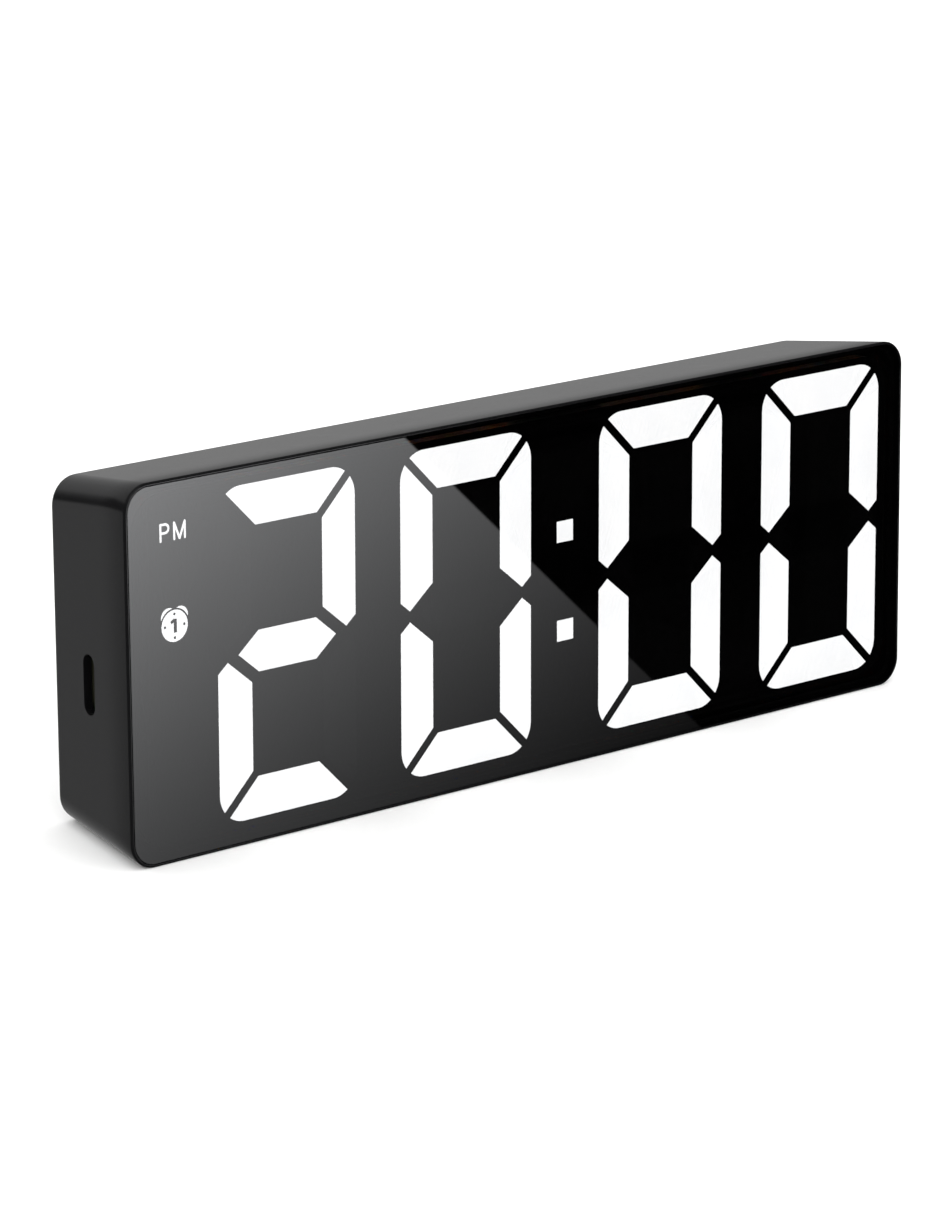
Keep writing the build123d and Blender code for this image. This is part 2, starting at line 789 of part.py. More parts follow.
# ---- USB-C socket, lying on the front side of the control board with its mouth to the left ----
with BuildPart() as usb_socket_shell:
    with BuildSketch(usb_start):
        SlotOverall(usb_width, usb_height)
    extrude(amount=-usb_length)
    with BuildSketch(usb_start):
        SlotOverall(usb_width - 2 * usb_sheet, usb_height - 2 * usb_sheet)
    extrude(amount=-(usb_length - usb_sheet), mode=Mode.SUBTRACT)
finish(usb_socket_shell.part, "usb_socket_shell")

with BuildPart() as usb_socket_tongue:
    with BuildSketch(usb_start.offset(-(usb_length - usb_sheet))):
        SlotOverall(usb_width - 2 * usb_sheet, usb_height - 2 * usb_sheet)
    extrude(amount=usb_base)
    with BuildSketch(usb_start.offset(-(usb_length - usb_sheet))):
        Rectangle(usb_tongue_width, usb_tongue_thickness)
    extrude(amount=usb_tongue_length + usb_base)
finish(usb_socket_tongue.part, "usb_socket_tongue")

# ---- push switches: the housings stay, and each plunger moves with its cap ----
with BuildPart() as switch_housings:
    with BuildSketch(behind(control_back)):
        with Locations(*button_places.values()):
            Rectangle(switch_side, switch_side)
    extrude(amount=-switch_height)
    with BuildSketch(behind(switch_top)):
        with Locations(*button_places.values()):
            Circle(plunger_radius + plunger_gap)
    extrude(amount=plunger_depth + press_room + plunger_well, mode=Mode.SUBTRACT)
finish(switch_housings.part, "switch_housings")

for name, place in button_places.items():
    with BuildPart() as plunger:
        with BuildSketch(behind(switch_top - plunger_depth)):
            with Locations(place):
                Circle(plunger_radius)
        extrude(amount=-(plunger_height + plunger_depth))
    finish(plunger.part, f"{name}_plunger")

    with BuildPart() as cap:
        with BuildSketch(behind(flange_front)):
            with Locations(place):
                Circle(button_radius + button_flange)
        extrude(amount=-button_flange_thickness)
        with BuildSketch(behind(flange_back)):
            with Locations(place):
                Circle(button_radius)
        extrude(amount=-(case_depth + button_height - flange_back))
        fillet(cap.faces().sort_by(OUTWARD)[0].edges(), button_edge)
        with BuildSketch(behind(case_depth + button_height)):
            with Locations(place):
                if name == "mode":
                    Circle(ring_outer_radius)
                    Circle(ring_inner_radius, mode=Mode.SUBTRACT)
                elif name == "set":
                    with GridLocations(0, bar_mark_pitch, 1, 3):
                        Rectangle(mark_length, bar_mark_width)
                else:
                    Rectangle(mark_length, mark_width)
                    if name == "up":
                        Rectangle(mark_width, mark_length)
        extrude(amount=symbol_depth, mode=Mode.SUBTRACT)
    finish(cap.part, f"{name}_button")

# ---- battery door: two feet hook under the lower edge of the opening, and a latch holds the top ----
with BuildPart() as battery_door:
    with BuildSketch(behind(case_depth)):
        with Locations((bay_place, 0)):
            RectangleRounded(door_width, door_height, door_corner)
        for side in (-1, 1):
            slit_place = bay_place + side * (latch_width + latch_slit) / 2
            with Locations((slit_place, door_height / 2 - latch_length / 2)):
                Rectangle(latch_slit, latch_length, mode=Mode.SUBTRACT)
    extrude(amount=case_depth - door_inner)
    with BuildSketch(behind(case_depth + grip_height)):
        with Locations((bay_place, door_height / 2 - latch_length / 2)):
            with GridLocations(0, grip_pitch, 1, 3):
                Rectangle(latch_width - 2 * grip_margin, grip_width)
    extrude(amount=grip_height)
    tab_middle = -door_height / 2 + tab_thickness / 2
    with BuildSketch(behind(door_inner)):
        with Locations((bay_place, tab_middle)):
            with GridLocations(tab_spread, 0, 2, 1):
                Rectangle(tab_width, tab_thickness)
    extrude(amount=tab_thickness + door_gap + door_clearance)
    with BuildSketch(behind(rear_inner - door_gap)):
        with Locations((bay_place, tab_middle - tab_foot / 2)):
            with GridLocations(tab_spread, 0, 2, 1):
                Rectangle(tab_width, tab_thickness + tab_foot)
    extrude(amount=tab_thickness)
finish(battery_door.part, "battery_door")

# ---- three AAA cells lying side by side, every other one turned round, with their springs and plates ----
bay_end = bay_length / 2


def bay_plane(offset, rise):
    """A plane across a cell's axis, offset to the right of the bay's middle."""
    middle = FRONT.from_local_coords(Vector(bay_place + offset, rise, -cell_axis))
    return Plane(origin=middle, x_dir=FRONT.y_dir, z_dir=FRONT.x_dir)


with BuildPart() as battery_cells:
    for number, rise in enumerate(cell_rises):
        turned = 1 if number % 2 == 0 else -1
        flat_end = turned * (-bay_end + plate_thickness + spring_length)
        shoulder = turned * (bay_end - plate_thickness - cell_nub)
        with BuildSketch(bay_plane(flat_end, rise)):
            Circle(cell_diameter / 2)
        extrude(amount=shoulder - flat_end)
        with BuildSketch(bay_plane(shoulder, rise)):
            Circle(cell_nub_radius)
        extrude(amount=turned * cell_nub)
    ends = battery_cells.edges().filter_by(GeomType.CIRCLE)
    rims = ends.filter_by(lambda edge: abs(edge.radius - cell_diameter / 2) < 0.01)
    fillet(rims, cell_edge)
finish(battery_cells.part, "battery_cells")

with BuildPart() as battery_springs:
    for number, rise in enumerate(cell_rises):
        turned = 1 if number % 2 == 0 else -1
        start = turned * (-bay_end + plate_thickness + spring_wire / 2)
        lift = (spring_length - spring_wire) / spring_turns
        coil = Helix(pitch=lift, height=spring_length - spring_wire, radius=spring_radius)
        stand = bay_plane(start, rise)
        facing = Plane(origin=stand.origin, x_dir=stand.x_dir, z_dir=turned * stand.z_dir)
        path = facing.from_local_coords(coil)
        with BuildSketch(Plane(origin=path @ 0, z_dir=path % 0)) as wire:
            Circle(spring_wire / 2)
        sweep(wire.sketch, path=path)
finish(battery_springs.part, "battery_springs")

with BuildPart() as battery_plates:
    for end in (-1, 1):
        with BuildSketch(bay_plane(end * bay_end, 0)):
            with Locations((end * cell_pitch, 0)):
                Rectangle(plate_side, plate_side)
            with Locations((-end * cell_pitch / 2, 0)):
                Rectangle(plate_side + cell_pitch, plate_side)
        extrude(amount=-end * plate_thickness)
finish(battery_plates.part, "battery_plates")

# ---- leads from the bay's end plates to the board: one straight across, one in front of the bay ----
lead_depth = control_front - lead_radius
lead_under = (led_board_back + bay_floor_front) / 2
lead_end = board_right - lead_overlap
bay_outer_left = bay_place - bay_outer_length / 2
bay_outer_right = bay_place + bay_outer_length / 2
negative_rise = -cell_pitch
positive_rise = cell_pitch - lead_drop
across_plane = behind(lead_depth)
under_plane = Plane(
    origin=FRONT.from_local_coords(Vector(0, positive_rise, 0)), x_dir=FRONT.x_dir, z_dir=FRONT.y_dir
)
lead_routes = {
    "negative_lead": (
        across_plane,
        [
            (bay_outer_left, negative_rise),
            (bay_outer_left - lead_reach, negative_rise),
            (bay_outer_left - lead_reach - lead_drop, negative_rise + 2 * lead_reach),
            (lead_end, negative_rise + 2 * lead_reach),
        ],
    ),
    "positive_lead": (
        under_plane,
        [
            (bay_outer_right, lead_depth),
            (bay_outer_right + lead_reach, lead_depth),
            (bay_outer_right + lead_reach, lead_under),
            (bay_outer_left - lead_reach, lead_under),
            (bay_outer_left - lead_reach, lead_depth),
            (lead_end, lead_depth),
        ],
    ),
}
for name, (plane, route) in lead_routes.items():
    with BuildPart() as lead:
        with BuildLine(plane) as path:
            FilletPolyline(*route, radius=lead_bend_radius)
        with BuildSketch(Plane(origin=path.line @ 0, z_dir=path.line % 0)):
            Circle(lead_radius)
        sweep(path=path.line)
    finish(lead.part, name)
    print(name, "bend radius", lead_bend_radius, "diameter", 2 * lead_radius)

print("case depth", round(case_depth, 2), "lean in degrees", round(lean_degrees, 2))
print("digit width and height", round(digit_width, 2), round(digit_height, 2))
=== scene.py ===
import json
import math
import bpy
from mathutils import Matrix, Vector


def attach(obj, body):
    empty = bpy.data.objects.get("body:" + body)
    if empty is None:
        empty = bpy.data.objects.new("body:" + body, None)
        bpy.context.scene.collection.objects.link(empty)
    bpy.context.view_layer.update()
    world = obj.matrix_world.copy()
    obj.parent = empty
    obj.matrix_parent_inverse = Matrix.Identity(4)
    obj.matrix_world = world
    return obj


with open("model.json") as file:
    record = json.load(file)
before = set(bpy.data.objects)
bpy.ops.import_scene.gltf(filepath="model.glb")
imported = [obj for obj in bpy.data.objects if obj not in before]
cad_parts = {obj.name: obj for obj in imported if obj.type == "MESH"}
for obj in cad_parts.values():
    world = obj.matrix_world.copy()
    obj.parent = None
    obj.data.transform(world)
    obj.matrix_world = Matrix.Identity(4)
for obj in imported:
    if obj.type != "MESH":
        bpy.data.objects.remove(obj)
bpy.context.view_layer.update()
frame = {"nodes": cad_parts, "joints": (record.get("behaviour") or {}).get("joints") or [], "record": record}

nodes = frame["nodes"]
print("frame loaded:", len(nodes), "nodes")

# the clock leans back a little: these are its own directions, taken from the way its keys press
pressWay = Vector(next(joint["axis"] for joint in frame["joints"] if joint["name"] == "mode_press"))
across = Vector((1, 0, 0))
outward = pressWay.normalized()
inward = -outward
upFace = Vector((0, outward.z, -outward.y))


def reach(name, way):
    # how far a node goes along a direction: its least and greatest
    values = [vertex.co.dot(way) for vertex in nodes[name].data.vertices]
    return min(values), max(values)


def middle(name):
    # the middle of a node, measured along the clock's own directions
    place = Vector((0, 0, 0))
    for way in (across, upFace, inward):
        low, high = reach(name, way)
        place += way * (low + high) / 2
    return place


lensFront = reach("front_lens", outward)[1]
lensMiddle = middle("front_lens")
faceCentre = lensMiddle + outward * (lensFront - lensMiddle.dot(outward))


# ways of working with shaders
class Signal:
    # a node's output that takes part in sums
    def __init__(self, paint, socket):
        self.paint = paint
        self.socket = socket

    def sum(self, operation, *values):
        return self.paint.node("ShaderNodeMath", {"operation": operation}, values)

    def __add__(self, other):
        return self.sum("ADD", self, other)

    def __radd__(self, other):
        return self.sum("ADD", other, self)

    def __sub__(self, other):
        return self.sum("SUBTRACT", self, other)

    def __rsub__(self, other):
        return self.sum("SUBTRACT", other, self)

    def __mul__(self, other):
        return self.sum("MULTIPLY", self, other)

    def __rmul__(self, other):
        return self.sum("MULTIPLY", other, self)

    def __truediv__(self, other):
        return self.sum("DIVIDE", self, other)

    def __pow__(self, other):
        return self.sum("POWER", self, other)

    def __gt__(self, other):
        return self.sum("GREATER_THAN", self, other)

    def __lt__(self, other):
        return self.sum("LESS_THAN", self, other)

    def __abs__(self):
        return self.sum("ABSOLUTE", self)


class Paint:
    # builds one material, or the world's light, out of nodes
    def __init__(self, name, tree=None):
        self.material = None
        if tree is None:
            self.material = bpy.data.materials.new(name)
            self.material.use_nodes = True
            tree = self.material.node_tree
        self.tree = tree
        self.tree.nodes.clear()

    def node(self, kind, settings=None, links=None, output=0):
        made = self.tree.nodes.new(kind)
        for name, value in (settings or {}).items():
            setattr(made, name, value)
        links = links or {}
        pairs = links.items() if isinstance(links, dict) else enumerate(links)
        for name, value in pairs:
            if isinstance(value, Signal):
                self.tree.links.new(value.socket, made.inputs[name])
            else:
                made.inputs[name].default_value = value
        return Signal(self, made.outputs[output]) if made.outputs else None

    def place(self):
        # the point's own place on the object, which moves with it
        return self.node("ShaderNodeTexCoord", output="Object")

    def facing(self, way):
        # how far the surface faces a direction, from -1 to 1
        return self.along(self.node("ShaderNodeTexCoord", output="Normal"), way)

    def along(self, vector, way):
        settings = {"operation": "DOT_PRODUCT"}
        return self.node("ShaderNodeVectorMath", settings, [vector, tuple(way)], "Value")

    def stretched(self, by):
        return self.node("ShaderNodeVectorMath", {"operation": "MULTIPLY"}, [self.place(), by], "Vector")

    def noise(self, scale, detail=2.0, rough=0.5, vector=None):
        values = {"Scale": scale, "Detail": detail, "Roughness": rough, "Vector": vector or self.place()}
        return self.node("ShaderNodeTexNoise", {}, values, "Fac")

    def cells(self, scale, output="Distance"):
        return self.node("ShaderNodeTexVoronoi", {}, {"Scale": scale, "Vector": self.place()}, output)

    def between(self, value, low, high, to=(0.0, 1.0), smooth=True):
        # carries a value from one range to another, and stays inside it
        settings = {"interpolation_type": "SMOOTHSTEP" if smooth else "LINEAR", "clamp": True}
        names = {"Value": value, "From Min": low, "From Max": high, "To Min": to[0], "To Max": to[1]}
        return self.node("ShaderNodeMapRange", settings, names, "Result")

    def blend(self, amount, first, second):
        # one colour over another
        settings = {"data_type": "RGBA", "clamp_factor": True}
        colours = [colour if isinstance(colour, Signal) else (*colour, 1) for colour in (first, second)]
        return self.node("ShaderNodeMix", settings, {0: amount, 6: colours[0], 7: colours[1]}, 2)

    def relief(self, height, depth, strength=1.0, over=None):
        # a positive depth raises what is high; over is another relief that this one lies on
        values = {"Height": height, "Distance": abs(depth), "Strength": strength}
        if over:
            values["Normal"] = over
        return self.node("ShaderNodeBump", {"invert": depth < 0}, values, "Normal")

    def surface(self, **sockets):
        # the closing shader: each name here stands for one of its sockets
        names = {
            "colour": "Base Color", "roughness": "Roughness", "metallic": "Metallic", "normal": "Normal",
            "alpha": "Alpha", "ior": "IOR", "specular": "Specular IOR Level", "coat": "Coat Weight",
            "coatRoughness": "Coat Roughness", "glow": "Emission Color", "glowStrength": "Emission Strength",
            "subsurface": "Subsurface Weight",
        }
        values = {names[name]: value for name, value in sockets.items()}
        shader = self.node("ShaderNodeBsdfPrincipled", {}, values)
        self.node("ShaderNodeOutputMaterial", {}, [shader])
        return self.material


# the case: satin black plastic
casePlastic = {
    "dark": (0.0042, 0.0042, 0.0045),
    "light": (0.006, 0.006, 0.0064),
    "dust": (0.05, 0.05, 0.052),
    "dustAmount": 0.05,
    "roughness": (0.13, 0.2),
    "rubbedSmoother": 0.02,
    "grain": 3600,  # grains to a metre
    "grainDepth": 0.000006,
    "grainStrength": 0.6,
    "flow": 38,
    "rollWidth": 0.008,  # how far back from the face the sides start to roll in
    "rollDepth": 0.0006,
    "rollPower": 3,
}


def casePlasticPaint(name):
    settings = casePlastic
    paint = Paint(name)
    grain = paint.noise(settings["grain"], 3, 0.62)
    pits = paint.cells(settings["grain"] * 0.7)
    flow = paint.noise(settings["flow"], 3, 0.55)
    rubbed = paint.between(paint.noise(settings["flow"] * 6, 4, 0.6), 0.5, 0.75)
    settled = paint.between(paint.facing((0, 0, 1)), 0.7, 1.0)
    specks = paint.between(paint.noise(settings["grain"] * 0.35, 2, 0.5), 0.6, 0.8)
    dust = settled * specks * settings["dustAmount"]
    mottle = flow * 0.6 + grain * 0.4
    smooth, rough = settings["roughness"]
    # the outer sides fall away towards the face, more and more steeply
    back = lensFront - paint.along(paint.place(), outward)
    near = paint.between(back, 0, settings["rollWidth"], (1, 0), False)
    outer = abs(paint.facing(outward)) < 0.5
    rolled = paint.relief(near ** settings["rollPower"] * outer, -settings["rollDepth"])
    texture = grain * 0.65 + pits * 0.35
    return paint.surface(
        colour=paint.blend(dust, paint.blend(mottle, settings["dark"], settings["light"]), settings["dust"]),
        roughness=smooth + mottle * (rough - smooth) + dust - rubbed * settings["rubbedSmoother"],
        normal=paint.relief(texture, settings["grainDepth"], settings["grainStrength"], rolled),
        ior=1.5,
    )


# the button caps: their sunk marks are filled with pale paint
buttonPlastic = {
    "dark": (0.012, 0.012, 0.0125),
    "light": (0.017, 0.017, 0.0177),
    "mark": (0.42, 0.42, 0.41),
    "markShade": (0.3, 0.3, 0.29),
    "markRougher": 0.2,
    "roughness": (0.3, 0.38),
    "grain": 5200,
    "grainDepth": 0.000006,
    "wear": 420,
    "markDepth": 0.00025,
    "markSlack": 0.00006,
}


def buttonPlasticPaint(name):
    settings = buttonPlastic
    paint = Paint(name)
    depth = paint.along(paint.place(), inward)
    floor = reach("mode_button", inward)[1] - settings["markDepth"]
    slack = settings["markSlack"]
    mark = (depth > floor - slack) * (depth < floor + slack) * (paint.facing(inward) > 0.9)
    grain = paint.noise(settings["grain"], 3, 0.6)
    wear = paint.between(paint.noise(settings["wear"], 4, 0.6), 0.45, 0.7)
    body = paint.blend(grain, settings["dark"], settings["light"])
    filled = paint.blend(grain * 0.3, settings["mark"], settings["markShade"])
    polish = paint.between(grain - wear * 0.3, 0, 1, settings["roughness"])
    return paint.surface(
        colour=paint.blend(mark, body, filled),
        roughness=polish + mark * settings["markRougher"],
        normal=paint.relief(grain, settings["grainDepth"], 0.5),
        ior=1.5,
    )


# the smoked lens, with wipe marks, faint touches and motes
smokedLens = {
    "dark": (0.0001, 0.0001, 0.00011),
    "light": (0.00025, 0.00025, 0.00028),
    "cover": 0.92,  # how much of what is behind the front face is hidden
    "roughness": (0.006, 0.02),
    "wipeMarks": 26,
    "wipeStretch": (1, 1, 2.6),
    "touches": 75,
    "motes": 700,
    "moteSize": 0.035,
}


def smokedLensPaint(name):
    settings = smokedLens
    paint = Paint(name)
    wiped = paint.noise(settings["wipeMarks"], 4, 0.6, paint.stretched(settings["wipeStretch"]))
    touched = paint.between(paint.noise(settings["touches"], 3, 0.5), 0.58, 0.78)
    motes = paint.between(paint.cells(settings["motes"]), 0.0, settings["moteSize"], (1, 0))
    clouded = wiped * 0.5 + touched * 0.3 + motes * 0.2
    # light that has come in leaves again without a second mirroring
    front = 1 - paint.node("ShaderNodeNewGeometry", output="Backfacing")
    return paint.surface(
        colour=paint.blend(motes * 0.5 + wiped * 0.3, settings["dark"], settings["light"]),
        roughness=paint.between(clouded, 0.15, 0.8, settings["roughness"]),
        alpha=front * settings["cover"],
        ior=1.49,
    )


# lit light guides: only the front glows, and the reflector masks the sides
litGuide = {
    "core": (1.0, 1.0, 1.0),
    "edge": (0.965, 0.972, 0.98),
    "strength": 11.6,
    "dark": (0.82, 0.84, 0.86),
    "light": (0.9, 0.92, 0.94),
    "roughness": (0.35, 0.5),
    "cloud": 140,
    "grain": 6000,
    "grainDepth": 0.000008,
}


def litGuidePaint(name):
    settings = litGuide
    paint = Paint(name)
    cloud = paint.noise(settings["cloud"], 2, 0.5)
    grain = paint.noise(settings["grain"], 2, 0.5)
    front = paint.facing(outward) > 0.5
    uneven = paint.between(cloud * 0.8 + grain * 0.2, 0.35, 0.7)
    return paint.surface(
        colour=paint.blend(grain, settings["dark"], settings["light"]),
        roughness=paint.between(grain, 0, 1, settings["roughness"]),
        glow=paint.blend(front, (0, 0, 0), paint.blend(uneven, settings["core"], settings["edge"])),
        glowStrength=settings["strength"],
        normal=paint.relief(grain, settings["grainDepth"], 0.4),
    )


# plain mouldings, prints and insulation: fine grain over slow clouds. grain and cloud are marks to a metre,
# detail and unevenness; shares say how far the colour, the roughness and the relief follow the grain; steeper
# makes the roughness change faster, by leaving out the ends of the pattern
mouldings = {
    "dark_guide": {
        "colours": ((0.0015, 0.0015, 0.0017), (0.003, 0.003, 0.0032)), "grain": (6000, 2, 0.5),
        "cloud": (140, 2, 0.5), "shares": (0, 1, 1), "roughness": (0.3, 0.45), "relief": (0.000008, 0.4),
    },
    "mask_ink": {
        "colours": ((0.001, 0.001, 0.001), (0.003, 0.003, 0.003)), "grain": (5000, 2, 0.5),
        "cloud": (260, 3, 0.5), "shares": (0, 0.4, 1), "roughness": (0.5, 0.7), "relief": (0.000003, 0.5),
    },
    "reflector_white": {
        "colours": ((0.72, 0.72, 0.7), (0.84, 0.84, 0.82)), "grain": (3000, 2, 0.5), "cloud": (60, 3, 0.5),
        "shares": (0, 1, 1), "roughness": (0.3, 0.45), "relief": (0.00001, 0.4), "subsurface": 0.04,
    },
    "buzzer_plastic": {
        "colours": ((0.012, 0.012, 0.012), (0.02, 0.02, 0.02)), "grain": (3000, 3, 0.6),
        "cloud": (120, 2, 0.5), "shares": (0, 1, 1), "roughness": (0.38, 0.5), "relief": (0.00001, 0.5),
    },
    "chip_black": {
        "colours": ((0.009, 0.009, 0.01), (0.024, 0.024, 0.026)), "grain": (9000, 4, 0.7),
        "cloud": (400, 2, 0.5), "shares": (0.7, 1, 1), "roughness": (0.5, 0.68), "relief": (0.000014, 0.7),
        "steeper": 0.2,
    },
    "red_lead": {
        "colours": ((0.55, 0.018, 0.014), (0.38, 0.01, 0.008)), "grain": (6000, 2, 0.5),
        "cloud": (520, 2, 0.5), "shares": (0.3, 0, 0.2), "roughness": (0.34, 0.5), "relief": (0.00004, 0.5),
        "steeper": 0.2,
    },
    "black_lead": {
        "colours": ((0.02, 0.02, 0.021), (0.01, 0.01, 0.011)), "grain": (6000, 2, 0.5),
        "cloud": (520, 2, 0.5), "shares": (0.3, 0, 0.2), "roughness": (0.34, 0.5), "relief": (0.00004, 0.5),
        "steeper": 0.2,
    },
}


def mouldingPaint(name):
    settings = mouldings[name]
    paint = Paint(name)
    grain = paint.noise(*settings["grain"])
    cloud = paint.noise(*settings["cloud"])
    tone, polish, height = (grain * share + cloud * (1 - share) for share in settings["shares"])
    cut = settings.get("steeper", 0)
    return paint.surface(
        colour=paint.blend(tone, *settings["colours"]),
        roughness=paint.between(polish, cut, 1 - cut, settings["roughness"]),
        normal=paint.relief(height, *settings["relief"]),
        subsurface=settings.get("subsurface", 0),
    )


# the tape behind the lens: closed-cell foam, with painted shade at the bottoms of its bubble dimples
blackTape = {
    # painted shade: the darker colour of the dimple floors
    "hollow": (0.002, 0.002, 0.002),
    "skin": (0.007, 0.007, 0.007),
    "roughness": (0.75, 0.95),
    "bubbles": 4200,
    "bubbleDepth": 0.00005,
}


def blackTapePaint(name):
    paint = Paint(name)
    bubbles = paint.cells(blackTape["bubbles"])
    return paint.surface(
        # the colour darkens into each bubble dimple as painted shade
        colour=paint.blend(bubbles, blackTape["hollow"], blackTape["skin"]),
        roughness=paint.between(bubbles, 0, 0.8, blackTape["roughness"]),
        normal=paint.relief(bubbles, blackTape["bubbleDepth"], 0.8),
    )


# the boards: solder mask over copper tracks, and the bare laminate at the cut edges
circuitBoard = {
    "mask": (0.006, 0.075, 0.03),
    "maskOverCopper": (0.014, 0.15, 0.055),
    "edge": (0.05, 0.052, 0.03),
    "edgeShade": (0.03, 0.032, 0.018),
    "roughness": (0.22, 0.34),
    "edgeRougher": 0.4,
    "tracks": 420,  # tracks to a metre
    "regions": 90,  # neighbouring regions run their tracks square to each other
    "vias": 310,
    "viaSize": (0.1, 0.14),
    "grain": 2500,
    "copperHeight": 0.00003,
}


def boardGreenPaint(name):
    settings = circuitBoard
    paint = Paint(name)
    region = paint.node("ShaderNodeSeparateColor", {}, [paint.cells(settings["regions"], "Color")])
    lines = []
    for way in (upFace, across):
        phase = paint.along(paint.place(), way) * (settings["tracks"] * 2 * math.pi)
        wave = paint.node("ShaderNodeMath", {"operation": "SINE"}, [phase])
        lines.append(paint.between(wave, 0.2, 0.45))
    turned = region > 0.5
    tracks = lines[0] * turned + lines[1] * (1 - turned)
    vias = paint.between(paint.cells(settings["vias"]), *settings["viaSize"], (1, 0))
    copper = paint.node("ShaderNodeMath", {"operation": "MAXIMUM"}, [tracks * 0.85, vias])
    grain = paint.noise(settings["grain"], 3, 0.5)
    cut = 1 - (abs(paint.facing(inward)) > 0.6)
    face = paint.blend(copper, settings["mask"], settings["maskOverCopper"])
    laminate = paint.blend(grain, settings["edge"], settings["edgeShade"])
    return paint.surface(
        colour=paint.blend(cut, face, laminate),
        roughness=paint.between(grain, 0, 1, settings["roughness"]) + cut * settings["edgeRougher"],
        normal=paint.relief(copper + grain * 0.1, settings["copperHeight"], 0.7),
    )


# the LEDs: a pale housing with a yellow window in the side that faces the lens
ledBody = {
    "housing": (0.74, 0.74, 0.72),
    "window": (0.78, 0.62, 0.1),
    "windowLight": (0.85, 0.72, 0.2),
    "roughness": (0.25, 0.4),
    "grain": 5000,
    "grainDepth": 0.000006,
}


def ledBodyPaint(name):
    paint = Paint(name)
    grain = paint.noise(ledBody["grain"], 2, 0.5)
    window = paint.facing(outward) > 0.8
    phosphor = paint.blend(grain, ledBody["window"], ledBody["windowLight"])
    return paint.surface(
        colour=paint.blend(window, ledBody["housing"], phosphor),
        roughness=paint.between(grain, 0, 1, ledBody["roughness"]),
        normal=paint.relief(grain, ledBody["grainDepth"], 0.4),
    )


# the switches: black housings with a steel plate on top
switchPlastic = {
    "housing": (0.012, 0.012, 0.012),
    "plate": (0.55, 0.55, 0.55),
    "roughness": (0.3, 0.45),
    "grain": 4200,
    "grainDepth": 0.000008,
}


def switchPlasticPaint(name):
    paint = Paint(name)
    grain = paint.noise(switchPlastic["grain"], 3, 0.6)
    plate = paint.facing(inward) > 0.8
    return paint.surface(
        colour=paint.blend(plate * (0.7 + grain * 0.3), switchPlastic["housing"], switchPlastic["plate"]),
        metallic=plate,
        roughness=paint.between(grain, 0, 1, switchPlastic["roughness"]),
        normal=paint.relief(grain, switchPlastic["grainDepth"], 0.5),
    )


# drawn cans, with fine rings
drawnCan = {
    "light": (0.8, 0.8, 0.81),
    "dark": (0.62, 0.62, 0.63),
    "roughness": (0.2, 0.34),
    "grimeRougher": 0.1,
    "rings": 900,
    "ringStretch": (1, 9, 1),
    "grime": 260,
    "ringDepth": 0.00001,
}


def canAluminiumPaint(name):
    paint = Paint(name)
    rings = paint.noise(drawnCan["rings"], 3, 0.6, paint.stretched(drawnCan["ringStretch"]))
    grime = paint.between(paint.noise(drawnCan["grime"], 3, 0.5), 0.5, 0.8)
    return paint.surface(
        colour=paint.blend(rings * 0.7 + grime * 0.3, drawnCan["light"], drawnCan["dark"]),
        metallic=1.0,
        roughness=paint.between(rings, 0.2, 0.8, drawnCan["roughness"]) + grime * drawnCan["grimeRougher"],
        normal=paint.relief(rings, drawnCan["ringDepth"], 0.5),
    )


# the plungers of the switches
plungerPlastic = {
    "dark": (0.46, 0.44, 0.4),
    "light": (0.56, 0.54, 0.5),
    "roughness": (0.35, 0.5),
    "grain": 4200,
    "grainDepth": 0.000008,
    "subsurface": 0.03,
}


def plungerPlasticPaint(name):
    paint = Paint(name)
    grain = paint.noise(plungerPlastic["grain"], 3, 0.6)
    return paint.surface(
        colour=paint.blend(grain, plungerPlastic["dark"], plungerPlastic["light"]),
        roughness=paint.between(grain, 0, 1, plungerPlastic["roughness"]),
        normal=paint.relief(grain, plungerPlastic["grainDepth"], 0.5),
        subsurface=plungerPlastic["subsurface"],
    )


# plated metals: brushed along one way, and slightly tarnished
platedMetals = {
    "pin_brass": {
        "colours": ((0.9, 0.66, 0.27), (0.7, 0.48, 0.18)), "roughness": (0.18, 0.3),
        "stretch": (1, 1, 1), "tarnish": 0.4,
    },
    "socket_steel": {
        "colours": ((0.1, 0.1, 0.105), (0.06, 0.06, 0.063)), "roughness": (0.26, 0.4),
        "stretch": (1, 6, 6), "tarnish": 0.5,
    },
    "screw_steel": {
        "colours": ((0.66, 0.67, 0.7), (0.5, 0.5, 0.53)), "roughness": (0.22, 0.36),
        "stretch": (2, 2, 2), "tarnish": 0.6,
    },
    "contact_steel": {
        "colours": ((0.76, 0.75, 0.73), (0.6, 0.59, 0.56)), "roughness": (0.16, 0.3),
        "stretch": (1, 1, 5), "tarnish": 0.5,
    },
}
brushing = {"lines": 1400, "depth": 0.000007, "stains": 330, "stainRougher": 0.2, "stainDuller": 0.25}


def platedMetalPaint(name):
    settings = platedMetals[name]
    paint = Paint(name)
    brushed = paint.noise(brushing["lines"], 3, 0.6, paint.stretched(settings["stretch"]))
    stain = paint.between(paint.noise(brushing["stains"], 4, 0.6), 0.52, 0.8) * settings["tarnish"]
    polish = paint.between(brushed, 0.2, 0.8, settings["roughness"])
    return paint.surface(
        colour=paint.blend(brushed * 0.6 + stain * 0.4, *settings["colours"]),
        metallic=1 - stain * brushing["stainDuller"],
        roughness=polish + stain * brushing["stainRougher"],
        normal=paint.relief(brushed, brushing["depth"], 0.5),
    )


